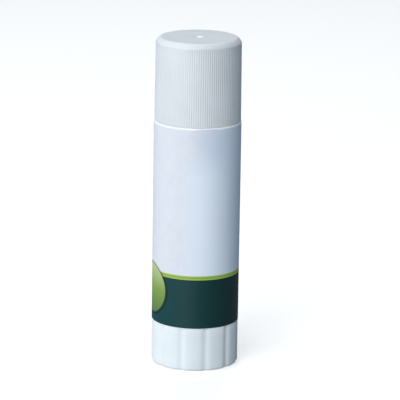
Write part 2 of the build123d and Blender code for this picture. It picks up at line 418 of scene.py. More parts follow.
class Wiring:
    """A short way to add and join the nodes of one material."""

    def __init__(self, name: str) -> None:
        """Start a material that holds one Principled shader.

        Args:
            name: Name of the material.
        """
        self.material = bpy.data.materials.new(name)
        self.material.use_nodes = True
        self.nodes = self.material.node_tree.nodes
        self.shader = self.nodes["Principled BSDF"]

    def add(self, kind: str, **settings: object) -> bpy.types.Node:
        """Add a node and set its properties.

        Args:
            kind: Type of the node.
            settings: Its properties.

        Returns:
            The node.
        """
        node = self.nodes.new(kind)
        for name, value in settings.items():
            setattr(node, name, value)
        return node

    def link(self, source: Socket, target: Socket) -> None:
        """Join an output to an input."""
        self.material.node_tree.links.new(source, target)

    def place(self) -> Socket:
        """Give the Object coordinates, in metres."""
        return self.add("ShaderNodeTexCoord").outputs["Object"]

    def split(self, vector: Socket) -> tuple[Socket, Socket]:
        """Take the first two parts of a vector.

        Args:
            vector: The vector.

        Returns:
            Its X and Y.
        """
        node = self.add("ShaderNodeSeparateXYZ")
        self.link(vector, node.inputs[0])
        return node.outputs["X"], node.outputs["Y"]

    def maths(self, operation: str, *values: Socket | float) -> Socket:
        """Add a Math node.

        Args:
            operation: The node's operation.
            values: Its inputs, each a socket or a number.

        Returns:
            The node's output.
        """
        node = self.add("ShaderNodeMath", operation=operation)
        for socket, value in zip(node.inputs, values):
            if isinstance(value, bpy.types.NodeSocket):
                self.link(value, socket)
            else:
                socket.default_value = value
        return node.outputs[0]

    def distance(self, across: Socket, up: Socket) -> Socket:
        """Give the distance of a point of a plane from its origin."""
        squares = (self.maths("POWER", across, 2.0), self.maths("POWER", up, 2.0))
        return self.maths("SQRT", self.maths("ADD", *squares))

    def noise(self, place: Socket, feature: float, detail: float = 2.0) -> Socket:
        """Add a noise whose features are about a given length.

        Args:
            place: Coordinates in metres.
            feature: Length of a feature, in metres.
            detail: Number of finer layers.

        Returns:
            The noise's value, 0 to 1.
        """
        node = self.add("ShaderNodeTexNoise")
        node.inputs["Scale"].default_value = 1.0 / feature
        node.inputs["Detail"].default_value = detail
        self.link(place, node.inputs["Vector"])
        return node.outputs[0]

    def spread(self, value: Socket, window: Span, ends: Span = RISING) -> Socket:
        """Map a window of a value to a new range, held at both ends.

        Args:
            value: The value.
            window: Where the change starts and ends.
            ends: Result at the window's start and at its end.

        Returns:
            The result.
        """
        node = self.add("ShaderNodeMapRange")
        names = ("From Min", "From Max", "To Min", "To Max")
        for name, number in zip(names, (*window, *ends)):
            node.inputs[name].default_value = number
        self.link(value, node.inputs["Value"])
        return node.outputs[0]

    def blend(self, share: Socket, first: Socket | Colour, second: Socket | Colour) -> Socket:
        """Mix two colours.

        Args:
            share: Share of the second colour, 0 to 1.
            first: A colour or a socket.
            second: A colour or a socket.

        Returns:
            The mixed colour.
        """
        node = self.add("ShaderNodeMix", data_type="RGBA")
        self.link(share, node.inputs["Factor"])
        for index, value in ((MIX_FIRST, first), (MIX_SECOND, second)):
            if isinstance(value, bpy.types.NodeSocket):
                self.link(value, node.inputs[index])
            else:
                node.inputs[index].default_value = (*value, 1.0)
        return node.outputs[MIX_RESULT]

    def bump(
        self, height: Socket, distance: float, strength: float, under: Socket | None = None
    ) -> Socket:
        """Add a bump of a real height.

        Args:
            height: Height, 0 to 1.
            distance: Height of 1, in metres.
            strength: How much of it shows, 0 to 1.
            under: A coarser bump that this one lies on.

        Returns:
            The bent normal.
        """
        node = self.add("ShaderNodeBump")
        node.inputs["Distance"].default_value = distance
        node.inputs["Strength"].default_value = strength
        self.link(height, node.inputs["Height"])
        if under is not None:
            self.link(under, node.inputs["Normal"])
        return node.outputs[0]

    def feed(self, **sources: Socket) -> None:
        """Join outputs to the shader's sockets, with underscores for spaces in their names."""
        for name, source in sources.items():
            self.link(source, self.shader.inputs[name.replace("_", " ")])

    def set(self, **values: object) -> None:
        """Set the shader's own sockets, with underscores for the spaces in their names."""
        for name, value in values.items():
            self.shader.inputs[name.replace("_", " ")].default_value = value


class MouldSkin(Enum):
    """How a mould's wall was finished: its roughness, and its grain's length and height."""

    SOFT_SATIN = ((0.42, 0.52), 0.30 * MM, 0.008 * MM)
    PLAIN = ((0.30, 0.38), 0.60 * MM, 0.004 * MM)

    def __init__(self, roughness: Span, grain_length: float, grain_height: float) -> None:
        """Keep the skin's values under their names.

        Args:
            roughness: Least and greatest roughness.
            grain_length: Length of a grain.
            grain_height: Height of a grain.
        """
        self.roughness = roughness
        self.grain_length = grain_length
        self.grain_height = grain_height


@dataclass(frozen=True)
class MouldedPlastic:
    """White moulded plastic with a faint grain, faint flow marks and a little depth.

    Chalk flattens its shading. A gate radius gives it a painted highlight, paler round the axis.
    """

    name: str
    colour: Colour
    skin: MouldSkin
    chalk: float = 0.0
    gloss: float = 0.5
    refraction: float = 1.49
    shade_share: float = 0.965
    gate_radius: float = 0.0
    # Painted highlight: a near-white colour round the axis, over the gate dimple.
    painted_highlight_core: float = 0.9
    painted_gate_highlight: Colour = linear(254, 254, 254)
    depth_weight: float = 0.06
    depth_length: float = 0.6 * MM
    depth_reach: Colour = (1.0, 0.95, 0.9)
    flow_length: float = 9.0 * MM
    flow_height: float = 0.02 * MM
    flow_strength: float = 0.5
    flow_window: Span = (0.35, 0.65)
    patch_grains: float = 12.0
    patch_window: Span = (0.3, 0.7)
    grain_detail: float = 1.0
    grain_strength: float = 0.6

    def material(self) -> bpy.types.Material:
        """Build the plastic's material.

        Returns:
            The material.
        """
        wiring = Wiring(self.name)
        place = wiring.place()
        flow = wiring.noise(place, self.flow_length)
        shade = tuple(share * self.shade_share for share in self.colour)
        colour = wiring.blend(wiring.spread(flow, self.flow_window), self.colour, shade)
        # Painted highlight: the colour turns near-white round the axis.
        if self.gate_radius:
            off_axis = wiring.distance(*wiring.split(place))
            edge = (self.painted_highlight_core * self.gate_radius, self.gate_radius)
            colour = wiring.blend(wiring.spread(off_axis, edge, FALLING), colour, self.painted_gate_highlight)
        patches = wiring.noise(place, self.skin.grain_length * self.patch_grains)
        rough = wiring.spread(patches, self.patch_window, self.skin.roughness)
        fine = wiring.noise(place, self.skin.grain_length, self.grain_detail)
        sink = wiring.bump(flow, self.flow_height, self.flow_strength)
        normal = wiring.bump(fine, self.skin.grain_height, self.grain_strength, sink)
        wiring.feed(Base_Color=colour, Roughness=rough, Normal=normal)
        wiring.set(
            IOR=self.refraction,
            Diffuse_Roughness=self.chalk,
            Specular_IOR_Level=self.gloss,
            Subsurface_Weight=self.depth_weight,
            Subsurface_Scale=self.depth_length,
            Subsurface_Radius=self.depth_reach,
        )
        return wiring.material


@dataclass(frozen=True)
class FilmPlan:
    """The wiring of a film, with what places a point on it.

    Side and facing are the sine and cosine of a point's azimuth: side is 1 at the stick's
    right, and facing is 1 at its front.
    """

    wiring: Wiring
    place: Socket
    along: Socket
    height: Socket
    side: Socket
    facing: Socket


@dataclass(frozen=True)
class PrintedFilm:
    """The label's film: white above, a lime stripe, a dark band below and a round plain badge.

    A span is a window in which a blend runs. Sides and facings are those of a film's plan.
    """

    name: str = "printed_film"
    film_radius: float = 15.25 * MM
    ink_edge: float = 0.05 * MM
    white: Colour = linear(230, 233, 239)
    white_cool: Colour = linear(224, 229, 238)
    mottle_length: float = 2.6 * MM
    mottle_detail: float = 5.0
    mottle_window: Span = (0.35, 0.75)
    # Painted shade: a darker, bluer white on the stick's right, front-facing side.
    white_painted_shade: Colour = linear(217, 229, 244)
    painted_shade_side: Span = (-0.15, 0.5)
    painted_shade_facing: Span = (-0.5, 0.1)
    # Painted sheen: a brighter white low on the front, a little right of middle.
    white_painted_sheen: Colour = linear(235, 244, 254)
    painted_sheen_left: Span = (-0.4, 0.1)
    painted_sheen_right: Span = (0.3, 0.95)
    painted_sheen_facing: Span = (0.0, 0.3)
    painted_sheen_height: Span = (69.0 * MM, 80.0 * MM)
    bare: Colour = linear(243, 246, 250)
    bare_edge: float = 86.17 * MM
    lime: Colour = linear(150, 180, 78)
    lime_edge: Colour = linear(176, 204, 100)
    stripe_low: float = 32.99 * MM
    stripe_high: float = 34.45 * MM
    stripe_edge: float = 0.42 * MM
    dark: Colour = linear(12, 71, 73)
    # Painted shade: the dark band turns darker towards the stick's right side.
    dark_painted_shade: Colour = linear(14, 48, 46)
    dark_shade_side: Span = (-1.0, 1.0)
    badge_top: Colour = linear(196, 214, 160)
    badge_middle: Colour = linear(134, 167, 82)
    badge_foot: Colour = linear(92, 124, 78)
    badge_rim: Colour = linear(60, 84, 44)
    badge_azimuth: float = -76.4
    badge_height: float = 27.5 * MM
    badge_radius: float = 9.1 * MM
    badge_rim_width: float = 0.34 * MM
    shadow: Colour = linear(8, 30, 30)
    shadow_width: float = 0.9 * MM
    shadow_offset: float = 0.25 * MM
    shadow_share: float = 0.75
    shadow_above_band: float = 0.35
    wave_length: float = 7.0 * MM
    wave_detail: float = 4.0
    wave_height: float = 0.09 * MM
    tooth_length: float = 0.35 * MM
    tooth_detail: float = 1.0
    tooth_height: float = 0.003 * MM
    relief_strength: float = 0.5
    patch_length: float = 2.5 * MM
    patch_window: Span = (0.3, 0.7)
    roughness: Span = (0.46, 0.56)
    refraction: float = 1.5
    chalk: float = 0.4
    gloss: float = 0.3

    def _above(self, wiring: Wiring, value: Socket, limit: float) -> Socket:
        """Give 1 where a length is over a limit and 0 where it is under, with an ink's edge."""
        half = self.ink_edge / 2
        return wiring.spread(value, (limit - half, limit + half))

    def _white(self, plan: FilmPlan) -> Socket:
        """Colour the white field: mottled, painted shade at the right, painted sheen low in front.

        Args:
            plan: The film's wiring.

        Returns:
            The colour.
        """
        wiring = plan.wiring
        noise = wiring.noise(plan.place, self.mottle_length, self.mottle_detail)
        mottle = wiring.spread(noise, self.mottle_window)
        white = wiring.blend(mottle, self.white, self.white_cool)
        # Painted shade: the white turns darker and bluer towards the right, fading out at the back.
        far = wiring.maths(
            "MULTIPLY",
            wiring.spread(plan.side, self.painted_shade_side),
            wiring.spread(plan.facing, self.painted_shade_facing),
        )
        white = wiring.blend(far, white, self.white_painted_shade)
        # Painted sheen: the white turns brighter low in front, a little right of middle.
        front = wiring.maths(
            "MULTIPLY",
            wiring.spread(plan.side, self.painted_sheen_left),
            wiring.spread(plan.side, self.painted_sheen_right, FALLING),
        )
        front = wiring.maths("MULTIPLY", front, wiring.spread(plan.facing, self.painted_sheen_facing))
        low = wiring.spread(plan.height, self.painted_sheen_height, FALLING)
        return wiring.blend(wiring.maths("MULTIPLY", front, low), white, self.white_painted_sheen)

    def _band(self, plan: FilmPlan) -> Socket:
        """Colour the dark band and the lime stripe that ends it.

        Args:
            plan: The film's wiring.

        Returns:
            The colour.
        """
        wiring = plan.wiring
        # Painted shade: the band darkens from the left side to the right.
        band = wiring.blend(wiring.spread(plan.side, self.dark_shade_side), self.dark, self.dark_painted_shade)
        middle = (self.stripe_low + self.stripe_high) / 2
        off_middle = wiring.maths("ABSOLUTE", wiring.maths("SUBTRACT", plan.height, middle))
        inner = (self.stripe_high - self.stripe_low) / 2 - self.stripe_edge
        stripe = wiring.blend(self._above(wiring, off_middle, inner), self.lime, self.lime_edge)
        return wiring.blend(self._above(wiring, plan.height, self.stripe_low), band, stripe)

    def _badged(self, plan: FilmPlan, colour: Socket) -> Socket:
        """Lay the badge with its rim and its soft shadow over the film.

        Args:
            plan: The film's wiring.
            colour: Colour of the film below.

        Returns:
            The colour.
        """
        wiring = plan.wiring
        badge_along = math.radians(self.badge_azimuth) * self.film_radius
        across = wiring.maths("SUBTRACT", plan.along, badge_along)
        up = wiring.maths("SUBTRACT", plan.height, self.badge_height)
        reach = wiring.distance(across, up)
        lower = wiring.spread(up, (-self.badge_radius, 0.0))
        upper = wiring.spread(up, (0.0, self.badge_radius))
        face = wiring.blend(lower, self.badge_foot, self.badge_middle)
        face = wiring.blend(upper, face, self.badge_top)
        inside = self.badge_radius - self.badge_rim_width
        badge = wiring.blend(self._above(wiring, reach, inside), face, self.badge_rim)
        shadow_reach = wiring.distance(
            wiring.maths("SUBTRACT", across, self.shadow_offset),
            wiring.maths("ADD", up, self.shadow_offset),
        )
        fade = (self.badge_radius, self.badge_radius + self.shadow_width)
        stripe = (self.stripe_low, self.stripe_high)
        shade = wiring.maths(
            "MULTIPLY",
            wiring.spread(shadow_reach, fade, (self.shadow_share, 0.0)),
            wiring.spread(plan.height, stripe, (1.0, self.shadow_above_band)),
        )
        colour = wiring.blend(shade, colour, self.shadow)
        return wiring.blend(self._above(wiring, reach, self.badge_radius), badge, colour)

    def material(self) -> bpy.types.Material:
        """Build the film's material from the unrolled arc length and height.

        Returns:
            The material.
        """
        wiring = Wiring(self.name)
        unrolled = wiring.add("ShaderNodeUVMap", uv_map="unrolled").outputs["UV"]
        along, height = wiring.split(unrolled)
        place = wiring.place()
        turn = wiring.maths("DIVIDE", along, self.film_radius)
        side, facing = wiring.maths("SINE", turn), wiring.maths("COSINE", turn)
        plan = FilmPlan(wiring, place, along, height, side, facing)
        over_stripe = self._above(wiring, height, self.stripe_high)
        colour = wiring.blend(over_stripe, self._band(plan), self._white(plan))
        colour = self._badged(plan, colour)
        colour = wiring.blend(self._above(wiring, height, self.bare_edge), colour, self.bare)

        waves = wiring.noise(place, self.wave_length, self.wave_detail)
        tooth = wiring.noise(place, self.tooth_length, self.tooth_detail)
        normal = wiring.bump(waves, self.wave_height, self.relief_strength)
        normal = wiring.bump(tooth, self.tooth_height, self.relief_strength, normal)
        patches = wiring.noise(place, self.patch_length)
        rough = wiring.spread(patches, self.patch_window, self.roughness)
        wiring.feed(Base_Color=colour, Normal=normal, Roughness=rough)
        wiring.set(
            IOR=self.refraction, Diffuse_Roughness=self.chalk, Specular_IOR_Level=self.gloss
        )
        return wiring.material


@dataclass(frozen=True)
class GluePaste:
    """Firm white glue: soft depth, a waxy sheen and faint streaks along the stick."""

    name: str = "glue_paste"
    colour: Colour = linear(250, 249, 241)
    streak: Colour = linear(245, 244, 235)
    streak_scale: Place = (1.0, 1.0, 0.16)
    streak_length: float = 1.6 * MM
    streak_detail: float = 3.0
    streak_window: Span = (0.4, 0.65)
    streak_height: float = 0.03 * MM
    wax_length: float = 2.2 * MM
    wax_height: float = 0.05 * MM
    wax_window: Span = (0.3, 0.7)
    relief_strength: float = 0.5
    roughness: Span = (0.42, 0.56)
    refraction: float = 1.45
    chalk: float = 0.6
    depth_weight: float = 0.2
    depth_length: float = 2.4 * MM
    depth_reach: Colour = (1.0, 0.85, 0.7)

    def material(self) -> bpy.types.Material:
        """Build the glue's material.

        Returns:
            The material.
        """
        wiring = Wiring(self.name)
        place = wiring.place()
        stretch = wiring.add("ShaderNodeMapping")
        stretch.inputs["Scale"].default_value = self.streak_scale
        wiring.link(place, stretch.inputs["Vector"])
        streaks = wiring.noise(stretch.outputs[0], self.streak_length, self.streak_detail)
        colour = wiring.blend(wiring.spread(streaks, self.streak_window), self.colour, self.streak)
        wax = wiring.noise(place, self.wax_length)
        rough = wiring.spread(wax, self.wax_window, self.roughness)
        normal = wiring.bump(wax, self.wax_height, self.relief_strength)
        normal = wiring.bump(streaks, self.streak_height, self.relief_strength, normal)
        wiring.feed(Base_Color=colour, Normal=normal, Roughness=rough)
        wiring.set(
            IOR=self.refraction,
            Diffuse_Roughness=self.chalk,
            Subsurface_Weight=self.depth_weight,
            Subsurface_Scale=self.depth_length,
            Subsurface_Radius=self.depth_reach,
        )
        return wiring.material


def dress(piece: bpy.types.Object, material: bpy.types.Material) -> None:
    """Give a piece its only material."""
    piece.data.materials.clear()
    piece.data.materials.append(material)


def hand_in(piece: bpy.types.Object, body: str, node: str) -> None:
    """Let a piece ride on a body and stand for a CAD node.

    Args:
        piece: The finished piece.
        body: Body that it moves with.
        node: CAD node that it stands for.
    """
    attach(piece, body)
    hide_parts(node)
    LOG.info("%s: %d faces, rides on %s", piece.name, len(piece.data.polygons), body)


def keep_node(node: str, material: bpy.types.Material) -> None:
    """Keep a CAD node as the piece that shows, and give it its material."""
    dress(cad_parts[node], material)
    LOG.info("%s: the CAD solid, dressed", node)


@dataclass
class Cap:
    """The push-on cap: fine ribs, a plain rounded shoulder and a gate dimple in its flat top.

    The flat's rings are shares of its radius, and the lip's rings are counts of its width.
    """

    ring: RingTree
    rib_count: int = 120
    rib_depth: float = 0.11 * MM
    rib_columns: int = 6
    rib_rows: int = 10
    rib_fade: float = 0.35 * MM
    draft: float = 0.19 * MM
    shoulder_height: float = 1.7 * MM
    shoulder_width: float = 1.57 * MM
    shoulder_bulge: float = 0.2 * MM
    shoulder_steps: int = 8
    wall: float = 1.2 * MM
    ceiling: float = 1.5 * MM
    ceiling_radius: float = 1.0 * MM
    ceiling_steps: int = 5
    mouth_chamfer: float = 0.4 * MM
    edge: float = 0.06 * MM
    edge_steps: int = 3
    flat_margin: float = 0.25 * MM
    flat_rings: Span = (0.7, 0.35)
    dimple_radius: float = 1.45 * MM
    dimple_depth: float = 1.1 * MM
    dimple_steps: int = 8
    dimple_lip: float = 0.06 * MM
    lip_rings: tuple[int, int] = (4, 1)

    def _shoulder(self, radius: float, height: float) -> list[Point]:
        """Draw the shoulder: a sloping line that swells a little in its middle.

        Args:
            radius: Radius of the shoulder's foot.
            height: Height of the shoulder's foot.

        Returns:
            The points after the foot.
        """
        chord = math.hypot(self.shoulder_width, self.shoulder_height)
        out, up = self.shoulder_height / chord, self.shoulder_width / chord
        points = []
        for share in rise(0.0, 1.0, self.shoulder_steps)[1:]:
            swell = 4 * share * (1 - share) * self.shoulder_bulge
            reach = radius - self.shoulder_width * share + swell * out
            points.append((reach, height + self.shoulder_height * share + swell * up))
        return points

    def _profile(self) -> tuple[list[Point], range]:
        """Draw the cap's half section.

        Returns:
            The section, and the places in it of the ribbed points.
        """
        low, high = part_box("cap")
        bottom, top, mouth, edge = low.z, high.z, high.x, self.edge
        foot = top - self.shoulder_height
        section = corner((mouth - edge, bottom + edge), edge, Way.DOWN, Way.OUT, self.edge_steps)
        rows = rise(bottom + 2 * edge, foot - self.rib_fade, self.rib_rows)
        for height in rows + [foot]:
            share = (height - bottom) / (foot - bottom)
            section.append((mouth - self.draft * share, height))
        ribbed = range(1, len(section) - 1)
        section += self._shoulder(mouth - self.draft, foot)
        flat = mouth - self.draft - self.shoulder_width
        section.append((flat - self.flat_margin, top))
        section += [(flat * share, top) for share in self.flat_rings]
        section += [(self.dimple_radius + n * self.dimple_lip, top) for n in self.lip_rings]
        for share in rise(0.0, 1.0, self.dimple_steps)[1:]:
            depth = self.dimple_depth * (1 - (1 - share) ** 2)
            section.append((self.dimple_radius * (1 - share), top - depth))
        bore, ceiling, bend = mouth - self.wall, top - self.ceiling, self.ceiling_radius
        section += [(0.0, ceiling), (bore / 2, ceiling)]
        section += corner((bore - bend, ceiling - bend), bend, Way.UP, Way.OUT, self.ceiling_steps)
        section += [(bore, bottom + self.mouth_chamfer), (bore + self.mouth_chamfer, bottom)]
        return section, ribbed

    def build(self, plastic: bpy.types.Material) -> None:
        """Build one rib's sector of the cap and repeat it round the axis.

        Args:
            plastic: Material of the cap.
        """
        section, ribbed = self._profile()
        half_pitch = FULL_TURN / self.rib_count / 2

        def rib(spot: Spot) -> float:
            """Round a rib: its crest is at azimuth 0, its valleys at the sector's edges.

            Args:
                spot: A point of the section.

            Returns:
                The point's radius.
            """
            if spot.index not in ribbed:
                return spot.radius
            return spot.radius - self.rib_depth * (spot.azimuth / half_pitch) ** 2

        azimuths = rise(-half_pitch, half_pitch, self.rib_columns)
        sector = turned("cap", section, azimuths, rib, loop=False)
        piece = tidy(self.ring.repeat(sector, self.rib_count, plastic))
        hand_in(piece, "cap", "cap")


@dataclass
class Barrel:
    """The barrel: outer sleeve, printed label, inner tube with its neck, and base plug.

    The film's lift starts and ends at an azimuth, and its flank is in degrees. The film's two
    waves turn so often round the barrel and climb by so many radians a metre. The lap's
    columns lie so many half seams past the start of the seam.
    """

    columns: int = 180
    edge: float = 0.12 * MM
    edge_steps: int = 3
    sleeve_wall: float = 1.0 * MM
    label_wall: float = 0.085 * MM
    label_lower: float = 0.12 * MM
    label_upper: float = 0.22 * MM
    label_rows: int = 64
    label_columns: int = 360
    label_wave: float = 0.02 * MM
    wave_turns: tuple[int, int] = (3, 2)
    wave_climbs: Span = (55.0, -90.0)
    wave_shift: float = 1.0
    lift_start: float = 0.5
    lift_end: float = 25.0
    lift_flank: float = 1.8
    lift_depth: float = 2.2 * MM
    lift_rise: float = 0.3 * MM
    seam_width: float = 0.5 * MM
    seam_step: float = 0.04 * MM
    lap_columns: Span = (0.2, 1.95)
    tube_bore: float = 12.5 * MM
    tube_radius: float = 13.55 * MM
    collar_height: float = 0.7 * MM
    collar_edge: float = 0.4 * MM
    collar_steps: int = 5
    neck_foot: float = 0.15 * MM
    bead_rise: float = 3.6 * MM
    bead_width: float = 1.2 * MM
    bead_height: float = 0.2 * MM
    bead_steps: int = 8
    rim_edge: float = 0.4 * MM
    rim_steps: int = 4
    rib_start: float = 19.5 * MM
    rib_slope: float = 0.2 * MM
    guide_margin: float = 2.2 * MM
    guide_slope: float = 0.7 * MM
    guide_ribs: Ribs = Ribs(count=4, first=45.0, width=1.2 * MM, depth=0.6 * MM, flank=0.3)
    centring_ribs: Ribs = Ribs(count=6, first=0.0, width=1.2 * MM, depth=0.5 * MM, flank=0.3)

    def _sleeve(self, plastic: bpy.types.Material) -> None:
        """Build the plain outer tube.

        Args:
            plastic: Material of the sleeve.
        """
        low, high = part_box("outer_sleeve")
        e = self.edge
        outer, inner, bottom, top = high.x - e, high.x - self.sleeve_wall + e, low.z + e, high.z - e
        section = corner((outer, bottom), e, Way.DOWN, Way.OUT, self.edge_steps)
        section += corner((outer, top), e, Way.OUT, Way.UP, self.edge_steps)
        section += corner((inner, top), e, Way.UP, Way.IN, self.edge_steps)
        section += corner((inner, bottom), e, Way.IN, Way.DOWN, self.edge_steps)
        piece = tidy(turned("outer_sleeve", section, even_columns(self.columns)))
        dress(piece, plastic)
        hand_in(piece, "barrel", "outer_sleeve")

    def _label(self, film: bpy.types.Material) -> None:
        """Build the film, one turn with a lapped seam at the back and a faint waviness.

        Args:
            film: Material of the label.
        """
        low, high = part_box("label")
        outer = high.x
        inner = outer - self.label_wall
        heights = rise(low.z - self.label_lower, high.z + self.label_upper, self.label_rows)
        section = [(outer, height) for height in heights]
        section += [(inner, height) for height in reversed(heights)]
        half_seam = math.degrees(self.seam_width / 2 / outer)
        flap = HALF_TURN - half_seam

        def wavy(spot: Spot) -> float:
            """Lay the film a little in and out, and its outer skin lower over the lap.

            Args:
                spot: A point of the section.

            Returns:
                The point's radius.
            """
            turn = math.radians(spot.azimuth)
            first, second = (
                count * turn + climb * spot.height
                for count, climb in zip(self.wave_turns, self.wave_climbs)
            )
            wave = math.sin(first) * math.sin(second + self.wave_shift)
            lapped = spot.azimuth > flap and spot.index < len(heights)
            step = self.seam_step if lapped else 0.0
            return spot.radius - step - self.label_wave * (1 + wave) / 2

        azimuths = rise(-flap, flap, self.label_columns)
        azimuths += [flap + share * half_seam for share in self.lap_columns]
        piece = turned("label", section, azimuths, wavy, loop=False, ends=True)
        self._lift_edge(piece)
        tidy(piece)
        dress(piece, film)
        hand_in(piece, "barrel", "label")

    def _lift_edge(self, piece: bpy.types.Object) -> None:
        """Stretch the film's top edge up where it creeps over the collar in front.

        Args:
            piece: The label.
        """
        top = max(vertex.co.z for vertex in piece.data.vertices)
        for vertex in piece.data.vertices:
            azimuth = math.degrees(math.atan2(vertex.co.x, -vertex.co.y))
            outside = max(self.lift_start - azimuth, azimuth - self.lift_end, 0.0)
            swell = math.exp(-((outside / self.lift_flank) ** 2))
            depth = max(0.0, 1 - (top - vertex.co.z) / self.lift_depth)
            vertex.co.z += self.lift_rise * swell * depth**2

    def _tube_section(self) -> tuple[list[Point], range, range]:
        """Draw the inner tube's half section, up its bore and down its outside.

        Returns:
            The section, and the places in it of the guide ribs' and the centring ribs' points.
        """
        low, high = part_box("inner_tube")
        sleeve_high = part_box("outer_sleeve")[1]
        collar, edge = sleeve_high.x, self.collar_edge
        collar_low, collar_high = sleeve_high.z, sleeve_high.z + self.collar_height
        bore, radius, rim = self.tube_bore, self.tube_radius, self.rim_edge
        guide_top = high.z - self.guide_margin
        section: list[Point] = [(bore, low.z), (bore, self.rib_start - self.rib_slope)]
        guides = range(len(section), len(section) + 2)
        section += [(bore, self.rib_start), (bore, guide_top - self.guide_slope)]
        section.append((bore, guide_top))
        section += corner((bore + rim, high.z - rim), rim, Way.IN, Way.UP, self.rim_steps)
        section += corner((radius - rim, high.z - rim), rim, Way.UP, Way.OUT, self.rim_steps)
        bead = collar_high + self.bead_rise
        for share in rise(1.0, -1.0, self.bead_steps):
            swell = self.bead_height * (1 - share**2)
            section.append((radius + swell, bead + share * self.bead_width / 2))
        foot = self.neck_foot
        section += [(radius, collar_high + foot), (radius + foot, collar_high)]
        section += corner(
            (collar - edge, collar_high - edge), edge, Way.UP, Way.OUT, self.collar_steps
        )
        section.append((collar, collar_low))
        centring = range(len(section), len(section) + 2)
        section += [(radius, collar_low), (radius, self.rib_start)]
        section += [(radius, self.rib_start - self.rib_slope), (radius, low.z)]
        return section, guides, centring

    def _tube(self, plastic: bpy.types.Material) -> None:
        """Build the inner tube: bore with guide ribs, collar, and neck with its bead.

        Args:
            plastic: Material of the tube.
        """
        section, guides, centring = self._tube_section()

        def ribbed(spot: Spot) -> float:
            """Raise the guide ribs into the bore and the centring ribs out to the sleeve.

            Args:
                spot: A point of the section.

            Returns:
                The point's radius.
            """
            if spot.index in guides and self.guide_ribs.covers(spot.azimuth, self.tube_bore):
                return spot.radius - self.guide_ribs.depth
            if spot.index in centring and self.centring_ribs.covers(
                spot.azimuth, self.tube_radius
            ):
                return spot.radius + self.centring_ribs.depth
            return spot.radius

        azimuths = self.guide_ribs.edged(set(even_columns(self.columns)), self.tube_bore)
        azimuths = self.centring_ribs.edged(azimuths, self.tube_radius)
        piece = tidy(turned("inner_tube", section, sorted(azimuths), ribbed))
        dress(piece, plastic)
        hand_in(piece, "barrel", "inner_tube")

    def build(
        self,
        sleeve: bpy.types.Material,
        film: bpy.types.Material,
        tube: bpy.types.Material,
        plug: bpy.types.Material,
    ) -> None:
        """Build the barrel's pieces.

        Args:
            sleeve: Material of the outer sleeve.
            film: Material of the label.
            tube: Material of the inner tube.
            plug: Material of the base plug.
        """
        self._sleeve(sleeve)
        self._label(film)
        self._tube(tube)
        keep_node("base_plug", plug)


